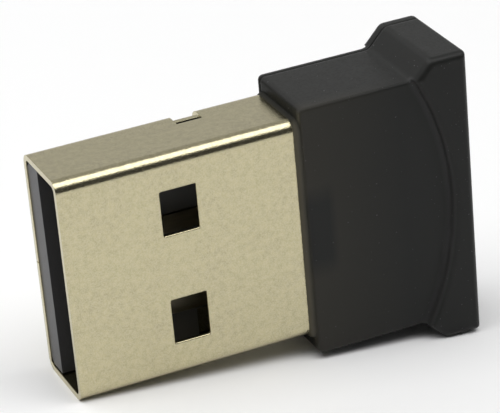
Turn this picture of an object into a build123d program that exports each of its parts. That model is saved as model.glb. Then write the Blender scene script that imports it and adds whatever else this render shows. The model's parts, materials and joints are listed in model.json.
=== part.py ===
"""Small wireless adapter: a folded-metal plug with its contacts, a circuit board and a smoky plastic head.

Modelled with X from the plug's mouth to the head's end, Y across the thickness and Z across the width.
At the end everything is leaned onto its narrow edge, as it stands on a table. All sizes in millimetres.
"""
import os
from math import asin, atan2, degrees, hypot, tan

from build123d import *

# Plug shell, folded from one sheet
shell_width = 12.0
shell_height = 4.5
sheet = 0.3
bend_radius = 0.62
exposed_length = 12.66
hidden_length = 3.8

# Spring windows in both broad walls
window_start = 5.15
window_length = 2.02
window_width = 2.5
window_spacing = 5.92
window_corner = 0.12

# Lanced tabs that lock the carrier, one at each narrow side
latch_start = 7.6
latch_length = 1.35
latch_reach = 1.4
latch_height = 1.5
latch_depth = 0.83
latch_slit = 0.04

# Slot in the near wall that the head snaps into
slot_setback = 0.7
slot_length = 0.85
slot_width = 4.2
slot_corner = 0.25

# Dovetailed seam in the far wall
seam_gap = 0.06
key_setback = 3.1
key_neck = 0.9
key_head = 1.5
key_depth = 0.9

# Contact carrier and its four contacts
tongue_recess = 0.06
tongue_thickness = 1.45
carrier_side_gap = 0.08
block_setback = 3.2
block_length = 2.0
groove_depth = 0.1
contact_width = 1.0
contact_thickness = 0.2
contact_bevel = 0.35
contact_gap = 0.05
outer_contact_place = 3.5
outer_contact_start = 1.1
inner_contact_place = 1.0
inner_contact_start = 2.1
tail_width = 0.6
tail_length = 0.9

# Circuit board
board_thickness = 0.8
board_side_gap = 0.2
board_end_gap = 0.4
board_corner = 0.6

# Components, all soldered to the board's near face
component_gap = 0.3
board_margin = 0.65
capacitor_length = 1.0
capacitor_width = 0.5
capacitor_height = 0.5
resistor_length = 1.0
resistor_width = 0.5
resistor_height = 0.35
inductor_length = 1.6
inductor_width = 0.8
inductor_height = 0.8
end_cap = 0.22
cap_wrap = 0.03
crystal_length = 2.5
crystal_width = 2.0
crystal_base = 0.4
crystal_lid = 0.25
lid_inset = 0.15
chip_size = 3.0
chip_height = 0.85
chip_dot = 0.2
pad_count = 7
pad_width = 0.2
pad_reach = 0.06
pad_height = 0.2
led_length = 0.8
led_width = 1.6
led_base = 0.25
led_lens = 0.35
led_terminal = 0.3
antenna_depth = 1.6
antenna_pitch = 0.7
antenna_turns = 8
antenna_feed = 0.4
trace_width = 0.35
trace_thickness = 0.05

# Head: a collar round the plug, and a wider and thicker flange at its end
head_length = 8.99
collar_side_wall = 0.79
collar_near_wall = 0.48
collar_far_wall = 0.37
flange_side_step = 1.03
flange_near_step = 0.46
flange_far_step = 0.2
flange_length = 1.97
ramp_run = 1.0
end_band = 1.14
arc_setback = 0.12
end_wall = 1.05
fit_gap = 0.03

# Rounding of the head's edges
front_corner = 0.25
ramp_foot_radius = 0.6
ramp_top_radius = 0.5
end_corner = 0.2
near_edge_radius = 0.12
far_edge_radius = 0.42
near_crest_radius = 0.35
far_crest_radius = 0.15

# Joint between the head's body and its cover, and what stands inside them
cover_depth = 0.6
joint_groove = 0.08
lip_thickness = 0.3
lip_height = 0.4
post_width = 1.3
post_length = 0.9
rib_place = 2.0
rib_width = 2.0
rib_length = 0.6
root = 0.04

# Places that follow from the sizes above
half_height = shell_height / 2
half_width = shell_width / 2
inner_height = half_height - sheet
inner_width = half_width - sheet
inner_bend = bend_radius - sheet
shell_length = exposed_length + hidden_length
slot_start = exposed_length + slot_setback
tongue_face = inner_height - tongue_thickness
board_face = tongue_face + groove_depth
block_start = exposed_length - block_setback
block_end = block_start + block_length
head_end = exposed_length + head_length
ramp_end = head_end - flange_length
ramp_start = ramp_end - ramp_run
collar_side = half_width + collar_side_wall
collar_near = half_height + collar_near_wall
collar_far = half_height + collar_far_wall
flange_side = collar_side + flange_side_step
flange_near = collar_near + flange_near_step
flange_far = collar_far + flange_far_step
cavity_height = half_height + fit_gap
cavity_width = half_width + fit_gap
cavity_end = head_end - end_wall
parting = collar_far - cover_depth
board_start = block_end
board_end = cavity_end - board_end_gap
board_side = inner_width - board_side_gap
contact_rows = {"contact_power": (outer_contact_start, outer_contact_place),
                "contact_data_minus": (inner_contact_start, inner_contact_place),
                "contact_data_plus": (inner_contact_start, -inner_contact_place),
                "contact_ground": (outer_contact_start, -outer_contact_place)}


def block(x0, x1, y0, y1, z0, z1):
    """A box between two corners."""
    return Pos((x0 + x1) / 2, (y0 + y1) / 2, (z0 + z1) / 2) * Box(x1 - x0, y1 - y0, z1 - z0)


def slab(sketch, y0, y1):
    """A flat drawing in X and Z, made solid from y0 to y1."""
    return extrude(Plane.XZ.offset(-y0) * sketch, amount=y1 - y0, dir=(0, 1, 0))


def both_sides(shape):
    """The shape and its mirror image across the width."""
    return shape + mirror(shape, about=Plane.XY)


# Plug shell
def seam_line():
    """The butt seam along the middle of the far wall, with dovetail keys that point either way."""
    points = [(-1, 0)]
    for side, x in ((1, key_setback), (-1, exposed_length - key_setback)):
        points += [(x - key_neck / 2, 0), (x - key_head / 2, side * key_depth),
                   (x + key_head / 2, side * key_depth), (x + key_neck / 2, 0)]
    points.append((shell_length + 1, 0))
    return trace(Polyline(*points), seam_gap)


def latch_tab():
    """The tab pressed in from the far wall, seen from the side and as long as its cut allows."""
    bottom = half_width - latch_height
    top = half_width - latch_slit
    tip = half_height - latch_depth
    side = Polyline((half_height, bottom - sheet), (half_height, bottom), (tip, top), (tip - sheet, top),
                    (inner_height, bottom), (inner_height, bottom - sheet), close=True)
    face = Plane.YZ.offset(latch_start + latch_slit) * make_face(side)
    return extrude(face, amount=latch_length - 2 * latch_slit, dir=(1, 0, 0))


def plug_shell():
    outer = RectangleRounded(shell_height, shell_width, bend_radius)
    inner = RectangleRounded(2 * inner_height, 2 * inner_width, inner_bend)
    tube = extrude(Plane.YZ * (outer - inner), amount=shell_length, dir=(1, 0, 0))
    window = Pos(window_start + window_length / 2, window_spacing / 2) * RectangleRounded(
        window_length, window_width, window_corner)
    tube -= both_sides(slab(window, -half_height - 1, half_height + 1))
    latch_cut = block(latch_start, latch_start + latch_length, half_height - latch_reach, half_height + 1,
                      half_width - latch_height, half_width + 1)
    tube -= both_sides(latch_cut)
    slot = Pos(slot_start + slot_length / 2, 0) * RectangleRounded(slot_length, slot_width, slot_corner)
    tube -= slab(slot, -half_height - 1, 0)
    tube -= slab(seam_line(), 0, half_height + 1)
    return tube + both_sides(latch_tab())


# Contact carrier and contacts
def contact_carrier():
    """A tongue on the far wall, a block that fills the shell behind it, and grooves for the contacts."""
    reach = inner_width - carrier_side_gap
    tongue = block(tongue_recess, block_end - contact_width, tongue_face, inner_height, -reach, reach)
    base = block(block_start, block_end, -inner_height + carrier_side_gap, inner_height, -reach, reach)
    base = chamfer(base.edges().filter_by(Axis.X), inner_bend)
    tongue = chamfer(tongue.edges().filter_by(Axis.X).group_by(Axis.Y)[-1], inner_bend)
    carrier = tongue + base
    pocket_bottom = half_width - latch_height - sheet - carrier_side_gap
    carrier -= both_sides(block(latch_start - carrier_side_gap, latch_start + latch_length + carrier_side_gap,
                                tongue_face - 1, half_height, pocket_bottom, half_width))
    for start, z in contact_rows.values():
        half = contact_width / 2 + contact_gap
        carrier -= block(start - contact_gap, block_start, tongue_face - 1, board_face, z - half, z + half)
        carrier -= contact(start, z)
    return carrier


def contact(start, z):
    """A stamped strip: bevelled front, full width through the carrier, narrow tail on the board."""
    top = board_face - contact_thickness
    side = Polyline((start, board_face), (start, board_face - contact_thickness / 3),
                    (start + contact_bevel, top), (block_end, top), (block_end, board_face), close=True)
    strip = extrude(Pos(0, 0, z) * make_face(side), amount=contact_width / 2, both=True)
    tail = block(block_end - contact_width, block_end + tail_length, top, board_face,
                 z - tail_width / 2, z + tail_width / 2)
    return strip + tail


# Circuit board and what is soldered to it
def circuit_board():
    outline = Pos((board_start + board_end) / 2, 0) * Rectangle(board_end - board_start, 2 * board_side)
    rear = outline.vertices().filter_by_position(Axis.X, board_end - 1e-3, board_end + 1e-3)
    return slab(chamfer(rear, board_corner), board_face, board_face + board_thickness)


def on_board(sketch, height, base=0.0):
    """A drawing in X and Z, raised from the board's near face."""
    return slab(sketch, board_face - base - height, board_face - base)


def two_ended(x, z, length, width, height, upright=False):
    """A ceramic chip part with a wrapped metal cap at each end, placed by its low corner."""
    cap = end_cap * length
    body = Rectangle(length - cap, width - 2 * cap_wrap)
    end = Pos((length - cap) / 2, 0) * Rectangle(cap, width)
    turn = Pos(x + (width if upright else length) / 2, z + (length if upright else width) / 2)
    turn *= Rot(0, 0, 90 if upright else 0)
    return on_board(turn * body, height - cap_wrap) + on_board(turn * (end + Rot(0, 0, 180) * end), height)


def capacitor(x, z):
    return two_ended(x, z, capacitor_length, capacitor_width, capacitor_height)


def resistor(x, z, upright=True):
    return two_ended(x, z, resistor_length, resistor_width, resistor_height, upright)


def radio_chip(x, z):
    """A flat leadless chip with pads round its foot and a dimple, placed by its low corner."""
    middle = Pos(x + chip_size / 2, z + chip_size / 2)
    dimple = Pos(-chip_size / 2 + 2 * chip_dot, chip_size / 2 - 2 * chip_dot) * Circle(chip_dot)
    body = on_board(middle * Rectangle(chip_size, chip_size), chip_height)
    body -= on_board(middle * dimple, chip_height, chip_height - cap_wrap)
    step = chip_size / (pad_count + 1)
    side = GridLocations(step, chip_size, pad_count, 2) * Rectangle(pad_width, 2 * pad_reach)
    front = GridLocations(chip_size, step, 2, pad_count) * Rectangle(2 * pad_reach, pad_width)
    return body + on_board(middle * (Sketch() + side + front), pad_height)


def crystal(x, z):
    """A ceramic base under a smaller metal lid, placed by its low corner."""
    middle = Pos(x + crystal_length / 2, z + crystal_width / 2)
    lid = RectangleRounded(crystal_length - 2 * lid_inset, crystal_width - 2 * lid_inset, lid_inset)
    base = on_board(middle * Rectangle(crystal_length, crystal_width), crystal_base)
    return base + on_board(middle * lid, crystal_lid, crystal_base)


def status_led(x, z):
    """A base with a lens between its two terminals, placed by its low corner."""
    middle = Pos(x + led_length / 2, z + led_width / 2)
    base = on_board(middle * Rectangle(led_length, led_width), led_base)
    lens = middle * Rectangle(led_length - 2 * cap_wrap, led_width - 2 * led_terminal)
    lens = on_board(lens, led_lens, led_base)
    return base + fillet(lens.edges().group_by(Axis.Y)[0], led_lens / 2)


def antenna(x, z):
    """The printed meander that runs down the board's far end, clear of the metal shell."""
    points = [(x - antenna_feed, z)]
    for i in range(antenna_turns):
        near, far = (x, x + antenna_depth) if i % 2 == 0 else (x + antenna_depth, x)
        points += [(near, z - i * antenna_pitch), (far, z - i * antenna_pitch)]
    return on_board(trace(Polyline(*points), trace_width), trace_thickness)


def components():
    """What is soldered on, set out from the tails, the board's sides and its end."""
    first = board_start + tail_length + component_gap
    second = first + capacitor_length + component_gap
    third = second + capacitor_length + component_gap
    bottom = -board_side + board_margin
    top = board_side - board_margin
    capacitor_row = top - capacitor_width
    crystal_row = capacitor_row - component_gap - crystal_width
    chip_row = crystal_row - component_gap - chip_size
    behind_crystal = first + crystal_length + component_gap
    led_row = cavity_width - post_width - component_gap - led_width
    return {"capacitor_1": capacitor(first, capacitor_row),
            "capacitor_2": capacitor(second, capacitor_row),
            "capacitor_3": capacitor(first, bottom),
            "capacitor_4": capacitor(second, bottom),
            "inductor": two_ended(third, bottom, inductor_length, inductor_width, inductor_height),
            "crystal": crystal(first, crystal_row),
            "resistor_1": resistor(behind_crystal, crystal_row),
            "resistor_2": resistor(behind_crystal, capacitor_row),
            "resistor_3": resistor(first, chip_row - component_gap - resistor_width, upright=False),
            "radio_chip": radio_chip(first, chip_row),
            "status_led": status_led(board_end - component_gap - led_length, led_row),
            "antenna": antenna(board_end - component_gap - antenna_depth, led_row - 2 * component_gap)}


# Head
def head_outline():
    """The head seen square on: collar, ramps and flange."""
    upper = [(exposed_length, collar_side), (ramp_start, collar_side),
             (ramp_end, flange_side), (head_end, flange_side)]
    lower = [(x, -z) for x, z in reversed(upper)]
    outline = make_face(Polyline(*upper, *lower, close=True))
    for x, radius in ((exposed_length, front_corner), (ramp_start, ramp_foot_radius),
                      (ramp_end, ramp_top_radius), (head_end, end_corner)):
        outline = fillet(outline.vertices().filter_by_position(Axis.X, x - 1e-3, x + 1e-3), radius)
    return outline


def rounded_slab(sketch, near, far, near_radius):
    """A slab of the head with its near edges rounded as asked and softer far edges."""
    solid = slab(sketch, -near, far)
    solid = fillet(solid.edges().filter_by_position(Axis.Y, far - 1e-4, far + 1e-4), far_edge_radius)
    return fillet(solid.edges().filter_by_position(Axis.Y, -near - 1e-4, -near + 1e-4), near_radius)


def behind_arc():
    """All that lies behind the arc, which runs from foot to foot of the ramps, with rounded crests."""
    sag = head_end - end_band - ramp_start - arc_setback
    arc_radius = (collar_side ** 2 + sag ** 2) / (2 * sag)
    before = Pos(head_end - end_band - arc_radius, 0) * Circle(arc_radius)
    reach = Pos(head_end, 0) * Rectangle(2 * flange_side, 3 * flange_side)
    solid = slab(reach - before, -flange_near, flange_far)
    for level, radius in ((-flange_near, near_crest_radius), (flange_far, far_crest_radius)):
        arcs = solid.edges().filter_by(GeomType.CIRCLE).filter_by_position(Axis.Y, level - 1e-4, level + 1e-4)
        solid = fillet(arcs, radius)
    return solid


def head_form():
    """The head's outside: a collar plate, and a flange that is thicker behind an arc on both broad sides."""
    outline = head_outline()
    plate = rounded_slab(outline, collar_near, collar_far, near_edge_radius)
    return plate + (rounded_slab(outline, flange_near, flange_far, near_crest_radius) & behind_arc())


def board_posts():
    """Posts in the body that carry the board's rear corners."""
    return both_sides(block(board_end - post_length, cavity_end + root, -cavity_height - root, board_face,
                            cavity_width - post_width, cavity_width + root))


def cover_ribs():
    """Ribs on the cover that hold the board down behind the shell."""
    return both_sides(block(shell_length + rib_length, shell_length + 2 * rib_length,
                            board_face + board_thickness, cavity_height + root,
                            rib_place, rib_place + rib_width))


def lip(extra):
    """The cover's lip along both sides and the end, made larger by a clearance for the body's step."""
    start = exposed_length + end_wall - extra
    end = cavity_end + lip_thickness + extra
    width = 2 * (cavity_width + lip_thickness + extra)
    ring = Pos((start + end) / 2, 0) * Rectangle(end - start, width)
    room = Pos((start + cavity_end) / 2 - 1, 0) * Rectangle(cavity_end - start + 2, 2 * cavity_width)
    return slab(ring - room, parting - lip_height - extra, parting)


def snap_bar():
    """The bar inside the near wall that snaps into the shell's slot."""
    side = slot_width / 2 - slot_corner
    return block(slot_start + fit_gap, slot_start + slot_length - fit_gap, -cavity_height - root,
                 -inner_height - fit_gap, -side, side)


def head_pieces():
    """The head's body and its cover, parted near the far side."""
    form = head_form()
    outline = head_outline()
    groove_ring = outline - offset(outline, amount=-joint_groove)
    form -= slab(groove_ring, parting - joint_groove / 2, parting + joint_groove / 2)
    form -= block(exposed_length - 1, cavity_end, -cavity_height, cavity_height, -cavity_width, cavity_width)
    far = block(0, head_end + 1, parting, flange_far + 1, -flange_side - 1, flange_side + 1)
    body = (form - far) - lip(fit_gap) + board_posts() + snap_bar()
    cover = (form & far) + lip(0) + cover_ribs()
    return body, cover


# Resting pose
def lean_angle():
    """The angle at which the mouth's lower edge and the rounded foot of the flange touch one level."""
    slope = atan2(flange_side_step, ramp_run)
    foot_x = ramp_end + ramp_top_radius * tan(slope / 2)
    rise = half_width - (flange_side - ramp_top_radius)
    return degrees(asin(ramp_top_radius / hypot(foot_x, rise)) - atan2(rise, foot_x))


def parts():
    """Every node, in the plug's own frame."""
    pieces = {"plug_shell": plug_shell(), "contact_carrier": contact_carrier()}
    for name, (start, z) in contact_rows.items():
        pieces[name] = contact(start, z)
    pieces["circuit_board"] = circuit_board()
    pieces.update(components())
    pieces["head_body"], pieces["head_cover"] = head_pieces()
    return pieces


def main():
    os.makedirs("parts", exist_ok=True)
    leaned = {name: Rot(0, -lean_angle(), 0) * shape for name, shape in parts().items()}
    box = Compound(list(leaned.values())).bounding_box()
    to_origin = Pos(-box.center().X, -box.center().Y, -box.min.Z)
    for name, shape in leaned.items():
        export_step(to_origin * shape, f"parts/{name}.step")


if __name__ == "__main__":
    main()
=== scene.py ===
"""Looks of the small wireless adapter: finishes, fine edges, a white floor, studio light and a camera."""
import json
from math import asin, cos, pi, radians, sin

import bpy
from mathutils import Matrix, Vector


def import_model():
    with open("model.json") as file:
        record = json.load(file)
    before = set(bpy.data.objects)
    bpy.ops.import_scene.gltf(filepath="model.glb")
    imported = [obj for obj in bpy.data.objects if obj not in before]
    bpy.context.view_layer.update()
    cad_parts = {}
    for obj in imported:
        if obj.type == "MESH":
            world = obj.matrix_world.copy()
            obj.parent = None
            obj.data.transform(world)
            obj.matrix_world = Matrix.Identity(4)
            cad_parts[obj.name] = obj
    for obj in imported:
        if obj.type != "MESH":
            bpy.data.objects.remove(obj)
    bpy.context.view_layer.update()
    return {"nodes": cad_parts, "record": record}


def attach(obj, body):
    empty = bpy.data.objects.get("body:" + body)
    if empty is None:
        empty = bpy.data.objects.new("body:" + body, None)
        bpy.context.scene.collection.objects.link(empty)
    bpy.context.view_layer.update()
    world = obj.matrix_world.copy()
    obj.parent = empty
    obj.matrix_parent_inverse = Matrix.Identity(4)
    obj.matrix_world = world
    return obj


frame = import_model()
nodes = frame["nodes"]
slot_of = {part["node"]: part["material_slot"] for part in frame["record"]["subparts"]}
MM = 0.001

# Resting pose of the plug in the part's frame
plug_mount = frame["record"]["mounts"][0]
plug_lean = asin(-plug_mount["axis"][2])
mouth = Vector(plug_mount["pos_m"])

# Sizes and places from here to the arc are millimetres in the plug's own axes, from the middle of its
# mouth: x along the plug, y through the thickness with the near side negative, z up the width.
# Most pairs are the two ends of a fade.

# Camera, as fitted to the photograph
camera_place = (-37.21, -120.99, 64.96)
camera_aim = (10.858, 0.381, 0.764)
camera_roll = 0.03
camera_lens = 208.91
sensor_width = 36.0

# Shell and its spring windows
shell_half_height = 2.25
shell_half_width = 6.0
shell_bend = 0.62
window_ends = (5.15, 7.17)
window_levels = {"upper": 2.96, "lower": -2.96}
window_width = 2.5
window_corner = 0.12

# Rounded edges of the windows, sunk into the sheet and set back from the opening
window_lip_radius = 0.08
window_lip_depth = 0.075
window_lip_setback = 0.02

# Lip where the head's collar closes round the shell: places along the plug with heights over the shell,
# and the share of that height which each side has
collar_lip_profile = ((12.42, -0.04), (12.43, 0.02), (12.46, 0.12), (12.53, 0.25), (12.665, 0.37))
collar_lip_near_share = 1.0
collar_lip_far_share = 0.05
collar_lip_narrow_share = 0.35

# Tongue of the carrier: painted light makes it paler from here inwards, on its near face
tongue_painted_light_fade = (1.5, 4.5)
tongue_near_face = (0.9, 1.3)

# Head: the shell seen through it as painted light, the slot that interrupts that, the collar's front with
# painted shade, painted light by the lip
painted_shine_fade = (12.8, 18.0)
painted_shine_depth = (-2.65, -1.8)
slot_place = 13.3
slot_half_length = (0.5, 0.95)
slot_half_width = (1.5, 2.6)
painted_shade_front_fade = (12.68, 12.75)
painted_shade_front_depth = (-2.6, -2.2)
painted_glow_fade = (12.42, 12.66)
painted_glow_depth = (-2.6, -2.0)

# Arc across the head's near side, where its thicker end begins, and the crease at its foot, where painted
# light lightens the shade
arc_centre = 6.174
arc_radius = 14.336
crease_before = (-0.36, -0.03)
crease_behind = (0.03, 0.16)
crease_depth = (-2.6, -2.4)

# Studio, with sizes in metres: how bright its white is on matt surfaces, and in reflections from walls and
# from the ceiling; then its floor, softboxes and dark flag
diffuse_fill = 0.35
wall_strength = 0.66
ceiling_strength = 0.45
ceiling_rise = (0.4, 0.65)
floor_reach = 3.0
box_height = 0.6
flag_distance = 0.3
flag_height = 0.3
flag_reach = 0.8
flag_shade = 0.05


def from_plug(x, y, z):
    """A place in the plug's own axes, brought into the part's frame."""
    return mouth + Matrix.Rotation(-plug_lean, 3, "Y") @ Vector((x, y, z)) * MM


# Node helpers
def new_material(name):
    material = bpy.data.materials.new(name)
    material.use_nodes = True
    tree = material.node_tree
    shader = tree.nodes["Principled BSDF"]
    return material, tree, shader


def put(tree, socket, value):
    """A socket set to a number or colour, or linked to another socket."""
    if isinstance(value, bpy.types.NodeSocket):
        tree.links.new(value, socket)
    else:
        socket.default_value = value


def add(tree, kind, inputs=None, **settings):
    """A node with its settings and inputs."""
    node = tree.nodes.new(kind)
    for key, value in settings.items():
        setattr(node, key, value)
    for key, value in (inputs or {}).items():
        put(tree, node.inputs[key], value)
    return node


def place_of(tree):
    """Position in the plug's own axes, in millimetres from its mouth."""
    where = add(tree, "ShaderNodeTexCoord").outputs["Object"]
    moved = add(tree, "ShaderNodeMapping", {"Vector": where, "Location": -mouth}, vector_type="POINT")
    straight = add(tree, "ShaderNodeMapping", {"Vector": moved.outputs[0], "Rotation": (0, plug_lean, 0),
                                               "Scale": (1 / MM, 1 / MM, 1 / MM)}, vector_type="POINT")
    return straight.outputs[0]


def split(tree, vector):
    return add(tree, "ShaderNodeSeparateXYZ", {"Vector": vector}).outputs


def maths(tree, operation, a, b=0.0):
    return add(tree, "ShaderNodeMath", {0: a, 1: b}, operation=operation).outputs[0]


def product(tree, a, b):
    return maths(tree, "MULTIPLY", a, b)


def noise(tree, place, scale, detail, stretch=(1, 1, 1)):
    if stretch != (1, 1, 1):
        place = add(tree, "ShaderNodeMapping", {"Vector": place, "Scale": stretch}).outputs[0]
    return add(tree, "ShaderNodeTexNoise", {"Vector": place, "Scale": scale, "Detail": detail}).outputs["Fac"]


def between(tree, value, low, high, to_low=0.0, to_high=1.0):
    """A value's way from low to high, as a number from to_low to to_high."""
    return add(tree, "ShaderNodeMapRange", {"Value": value, "From Min": low, "From Max": high,
                                            "To Min": to_low, "To Max": to_high}).outputs[0]


def within(tree, value, middle, inner, outer):
    """One near a middle value, falling to nothing between an inner and an outer distance from it."""
    off = maths(tree, "ABSOLUTE", maths(tree, "SUBTRACT", value, middle))
    return between(tree, off, inner, outer, 1, 0)


def mixed(tree, factor, a, b):
    node = add(tree, "ShaderNodeMix", {0: factor, 6: a, 7: b}, data_type="RGBA")
    return node.outputs[2]


def bumped(tree, shader, height, distance_mm, edge_mm=0.0):
    """Bump from a height, over edges that light shows as slightly rounded."""
    bump = add(tree, "ShaderNodeBump", {"Height": height, "Distance": distance_mm * MM, "Strength": 1.0})
    if edge_mm:
        edge = add(tree, "ShaderNodeBevel", {"Radius": edge_mm * MM}, samples=6)
        put(tree, bump.inputs["Normal"], edge.outputs[0])
    put(tree, shader.inputs["Normal"], bump.outputs[0])


def look(tree, shader, **values):
    """The shader's inputs, set by short names."""
    names = {"colour": "Base Color", "roughness": "Roughness", "metallic": "Metallic", "ior": "IOR",
             "specular": "Specular IOR Level", "transmission": "Transmission Weight"}
    for key, value in values.items():
        put(tree, shader.inputs[names[key]], value)


def paint(*colour):
    return (*colour, 1.0)


# Finishes
def shell_plating():
    material, tree, shader = new_material("pale_gold_plating")
    place = place_of(tree)
    grain = noise(tree, place, 13.0, 3.0)
    mottle = noise(tree, place, 3.2, 3.0)
    cloud = noise(tree, place, 0.45, 2.0)
    tone = mixed(tree, between(tree, cloud, 0.35, 0.65), paint(0.425, 0.383, 0.245),
                 paint(0.45, 0.412, 0.25))
    tone = mixed(tree, between(tree, mottle, 0.35, 0.65), tone, paint(0.525, 0.475, 0.295))
    tone = mixed(tree, between(tree, grain, 0.35, 0.65, 0.0, 0.7), tone, paint(0.60, 0.55, 0.385))
    look(tree, shader, colour=tone, roughness=between(tree, grain, 0.3, 0.7, 0.14, 0.24), metallic=1.0)
    bumped(tree, shader, grain, 0.008, edge_mm=0.05)
    return material


def contact_plating():
    material, tree, shader = new_material("gold_contact_plating")
    wiped = noise(tree, place_of(tree), 6.0, 3.0, (0.15, 1, 1))
    tone = mixed(tree, between(tree, wiped, 0.4, 0.7), paint(0.47, 0.43, 0.33), paint(0.41, 0.375, 0.29))
    look(tree, shader, colour=tone, roughness=between(tree, wiped, 0.3, 0.7, 0.3, 0.4), metallic=1.0)
    return material


def carrier_plastic():
    """Dark plastic, with painted light making the tongue's near face paler inside the shell."""
    material, tree, shader = new_material("dark_carrier_plastic")
    place = place_of(tree)
    grain = noise(tree, place, 14.0, 3.0)
    x, y, _ = split(tree, place)
    # Painted light on the tongue's near face inside the shell
    painted_inner_light = product(tree, between(tree, x, *tongue_painted_light_fade), between(tree, y, *tongue_near_face, 1, 0))
    tone = mixed(tree, grain, paint(0.034, 0.034, 0.036), paint(0.056, 0.056, 0.059))
    tone = mixed(tree, painted_inner_light, tone, paint(0.14, 0.14, 0.142))
    look(tree, shader, colour=tone, roughness=0.34, specular=0.2)
    bumped(tree, shader, grain, 0.006)
    return material


def arc_crease_painted_light(tree, x, y, z):
    """One in the crease at the arc's foot, where painted light lightens the shade, and nothing elsewhere."""
    along = maths(tree, "SUBTRACT", x, arc_centre)
    square = maths(tree, "ADD", product(tree, along, along), product(tree, z, z))
    off = maths(tree, "SUBTRACT", maths(tree, "POWER", square, 0.5), arc_radius)
    crease = product(tree, between(tree, off, *crease_before), between(tree, off, *crease_behind, 1, 0))
    return product(tree, crease, between(tree, y, *crease_depth, 1, 0))


def head_plastic():
    """Smoky plastic, with painted light where the shell would show through it, but not over the slot that it
    snaps into.
    """
    material, tree, shader = new_material("smoky_head_plastic")
    place = place_of(tree)
    ripple = noise(tree, place, 0.6, 1.0)
    dust = noise(tree, place, 7.0, 1.0)
    x, y, z = split(tree, place)
    # Painted light: the shell seen through the plastic, left out over its slot
    painted_shine = product(tree, between(tree, x, *painted_shine_fade, 1, 0), between(tree, y, *painted_shine_depth, 1, 0.1))
    slot = product(tree, within(tree, x, slot_place, *slot_half_length),
                   within(tree, z, 0, *slot_half_width))
    painted_shine = product(tree, painted_shine, between(tree, slot, 0, 1, 1, 0))
    # Painted shade: the collar's front face reflects and passes less light, so it looks darker
    front = product(tree, between(tree, x, *painted_shade_front_fade, 1, 0), between(tree, y, *painted_shade_front_depth))
    # Painted light: a pale warm tone by the lip, where the shell meets the collar
    painted_glow = product(tree, between(tree, x, *painted_glow_fade, 1, 0), between(tree, y, *painted_glow_depth, 1, 0.1))
    tone = mixed(tree, painted_shine, paint(0.015, 0.0155, 0.014), paint(0.036, 0.033, 0.025))
    tone = mixed(tree, painted_glow, tone, paint(0.17, 0.155, 0.115))
    # Painted light over the shade in the crease at the arc's foot
    tone = mixed(tree, arc_crease_painted_light(tree, x, y, z), tone, paint(0.039, 0.039, 0.038))
    tone = mixed(tree, between(tree, dust, 0.74, 0.79), tone, paint(0.12, 0.12, 0.12))
    look(tree, shader, colour=tone, roughness=between(tree, dust, 0.4, 0.8, 0.36, 0.5), ior=1.4,
         specular=between(tree, front, 0, 1, 0.22, 0.03),
         transmission=between(tree, front, 0, 1, 0.35, 0.05))
    bumped(tree, shader, ripple, 0.02, edge_mm=0.22)
    return material


def grained(name, scale, detail, low, high, roughness, metallic=0.0, bump_mm=0.0):
    """A plain finish whose colour wanders between two tones."""
    material, tree, shader = new_material(name)
    grain = noise(tree, place_of(tree), scale, detail)
    tone = mixed(tree, grain, paint(*low), paint(*high))
    look(tree, shader, colour=tone, roughness=roughness, metallic=metallic)
    if bump_mm:
        bumped(tree, shader, grain, bump_mm)
    return material


def crystal_can():
    material, tree, shader = new_material("nickel_can")
    brushed = noise(tree, place_of(tree), 12.0, 3.0, (0.1, 1, 1))
    tone = mixed(tree, brushed, paint(0.6, 0.59, 0.56), paint(0.72, 0.71, 0.68))
    look(tree, shader, colour=tone, roughness=between(tree, brushed, 0.3, 0.7, 0.2, 0.35), metallic=1.0)
    return material


finishes = {
    "shell_plating": shell_plating(),
    "contact_plating": contact_plating(),
    "carrier_plastic": carrier_plastic(),
    "head_plastic": head_plastic(),
    "board_laminate": grained("green_board", 5.0, 2.0, (0.02, 0.10, 0.04), (0.03, 0.15, 0.06), 0.25),
    "chip_resin": grained("chip_resin", 20.0, 3.0, (0.018, 0.018, 0.02), (0.035, 0.035, 0.037), 0.55,
                          bump_mm=0.004),
    "crystal_can": crystal_can(),
    "antenna_foil": grained("copper_foil", 3.0, 3.0, (0.75, 0.42, 0.22), (0.82, 0.52, 0.3), 0.3,
                            metallic=1.0),
    "led_lens": grained("clear_lens", 4.0, 2.0, (0.78, 0.8, 0.83), (0.88, 0.9, 0.92), 0.15),
    "capacitor_ceramic": grained("capacitor_ceramic", 10.0, 3.0, (0.42, 0.3, 0.18), (0.55, 0.42, 0.28), 0.5),
    "resistor_ceramic": grained("resistor_ceramic", 10.0, 3.0, (0.02, 0.02, 0.02), (0.05, 0.05, 0.05), 0.35),
    "inductor_ferrite": grained("inductor_ferrite", 10.0, 3.0, (0.1, 0.095, 0.095), (0.17, 0.16, 0.16), 0.6),
}
for name, node in nodes.items():
    node.data.materials.clear()
    node.data.materials.append(finishes[slot_of[name]])


# Rounded edges of the windows and of the head's collar
def rounded_outline(u0, u1, v0, v1, corner, grown=0.0, steps=4):
    """Points round a rectangle with rounded corners, grown outwards by a little."""
    middles = ((u1 - corner, v1 - corner), (u0 + corner, v1 - corner),
               (u0 + corner, v0 + corner), (u1 - corner, v0 + corner))
    points = []
    for turn, (u, v) in enumerate(middles):
        for step in range(steps + 1):
            angle = (turn + step / steps) * pi / 2
            points.append((u + (corner + grown) * cos(angle), v + (corner + grown) * sin(angle)))
    return points


def trim(name, mesh, slot):
    """A smooth mesh that belongs to the part's looks."""
    for polygon in mesh.polygons:
        polygon.use_smooth = True
    mesh.materials.clear()
    mesh.materials.append(finishes[slot])
    piece = bpy.data.objects.new(name, mesh)
    bpy.context.scene.collection.objects.link(piece)
    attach(piece, "root")


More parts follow.
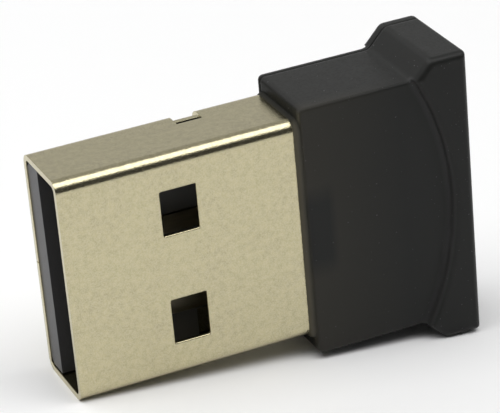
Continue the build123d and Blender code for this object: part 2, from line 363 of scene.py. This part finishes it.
def window_lip(name, face, inwards, level):
    """The rounded edge of a punched window, of which only its inner side shows."""
    depth = face + inwards * window_lip_depth
    low, high = level - window_width / 2, level + window_width / 2
    outline = rounded_outline(*window_ends, low, high, window_corner, window_lip_setback)
    curve = bpy.data.curves.new(name, "CURVE")
    curve.dimensions = "3D"
    curve.bevel_depth = window_lip_radius * MM
    curve.bevel_resolution = 3
    spline = curve.splines.new("POLY")
    spline.points.add(len(outline) - 1)
    spline.use_cyclic_u = True
    for point, (x, z) in zip(spline.points, outline):
        point.co = (*from_plug(x, depth, z), 1.0)
    draft = bpy.data.objects.new(name + "_draft", curve)
    bpy.context.scene.collection.objects.link(draft)
    mesh = bpy.data.meshes.new_from_object(draft.evaluated_get(bpy.context.evaluated_depsgraph_get()))
    bpy.data.objects.remove(draft)
    trim(name, mesh, "shell_plating")


def collar_lip():
    """The head's soft front edge, which rises from the shell to the collar and hides the fine gap there."""
    rings = []
    for x, height in collar_lip_profile:
        near = shell_half_height + collar_lip_near_share * height
        far = shell_half_height + collar_lip_far_share * height
        narrow = shell_half_width + collar_lip_narrow_share * height
        outline = rounded_outline(-near, far, -narrow, narrow, shell_bend, steps=8)
        rings.append([from_plug(x, y, z) for y, z in outline])
    count = len(rings[0])
    faces = []
    for first in range(0, (len(rings) - 1) * count, count):
        for i in range(count):
            j = (i + 1) % count
            faces.append((first + i, first + j, first + count + j, first + count + i))
    mesh = bpy.data.meshes.new("collar_lip")
    mesh.from_pydata([point for ring in rings for point in ring], [], faces)
    trim("collar_lip", mesh, "head_plastic")


for side, sign in (("near", -1), ("far", 1)):
    for height, level in window_levels.items():
        window_lip("window_lip_%s_%s" % (side, height), sign * shell_half_height, -sign, level)
collar_lip()


# Floor and flag
def plate(name, finish, corners, **values):
    """A flat piece of the studio, with a plain finish."""
    mesh = bpy.data.meshes.new(name)
    mesh.from_pydata(corners, [], [(0, 1, 2, 3)])
    piece = bpy.data.objects.new(name, mesh)
    bpy.context.scene.collection.objects.link(piece)
    material, tree, shader = new_material(finish)
    look(tree, shader, **values)
    mesh.materials.append(material)
    return piece


def floor():
    corners = [(x * floor_reach, y * floor_reach, 0) for x, y in ((-1, -1), (1, -1), (1, 1), (-1, 1))]
    piece = plate("floor", "white_floor", corners, colour=paint(0.9, 0.9, 0.9), roughness=0.7, specular=0.2)


def dark_flag():
    """A dark card in front, which only reflections and shade show."""
    corners = [(-flag_reach, -flag_distance, 0.0), (flag_reach, -flag_distance, 0.0),
               (flag_reach, -flag_distance, flag_height), (-flag_reach, -flag_distance, flag_height)]
    colour = paint(flag_shade, flag_shade, flag_shade)
    piece = plate("dark_flag", "dark_flag", corners, colour=colour, roughness=0.9)
    piece.visible_camera = False


# Light
def softbox(name, x0, x1, y0, y1, radiance):
    """A softbox overhead, facing down and hidden from the camera, with a set brightness of its face."""
    data = bpy.data.lights.new(name, "AREA")
    data.shape = "RECTANGLE"
    data.size, data.size_y = x1 - x0, y1 - y0
    data.energy = radiance * pi * data.size * data.size_y
    piece = bpy.data.objects.new(name, data)
    piece.location = ((x0 + x1) / 2, (y0 + y1) / 2, box_height)
    piece.visible_camera = False
    bpy.context.scene.collection.objects.link(piece)


def world():
    """White to the camera, greyer in reflections and more so higher up, with a soft fill on matt surfaces."""
    space = bpy.data.worlds.new("studio")
    bpy.context.scene.world = space
    space.use_nodes = True
    tree = space.node_tree
    background = tree.nodes["Background"]
    rays = add(tree, "ShaderNodeLightPath").outputs
    rise = split(tree, add(tree, "ShaderNodeTexCoord").outputs["Generated"])["Z"]
    mirrored = maths(tree, "MAXIMUM", rays["Is Glossy Ray"], rays["Is Transmission Ray"])
    reflected = between(tree, rise, *ceiling_rise, wall_strength, ceiling_strength)
    strength = between(tree, mirrored, 0, 1, diffuse_fill, reflected)
    strength = maths(tree, "MAXIMUM", strength, rays["Is Camera Ray"])
    put(tree, background.inputs["Strength"], strength)
    put(tree, background.inputs["Color"], paint(1, 1, 1))


floor()
world()
softbox("front_softbox", -0.1, 0.55, -0.43, 0.05, 2.35)
softbox("left_softbox", -0.6, -0.1, -0.28, 0.22, 3.1)
softbox("rear_softbox", -0.6, -0.05, 0.3, 0.7, 1.6)
dark_flag()


def camera():
    data = bpy.data.cameras.new("camera")
    data.lens = camera_lens
    data.sensor_width = sensor_width
    data.clip_start = 0.01
    data.clip_end = 10.0
    piece = bpy.data.objects.new("camera", data)
    place = from_plug(*camera_place)
    turn = (from_plug(*camera_aim) - place).to_track_quat("-Z", "Y").to_matrix()
    turn = turn @ Matrix.Rotation(radians(camera_roll), 3, "Z")
    piece.matrix_world = Matrix.Translation(place) @ turn.to_4x4()
    bpy.context.scene.collection.objects.link(piece)
    bpy.context.scene.camera = piece


camera()
bpy.context.scene.view_settings.view_transform = "Standard"
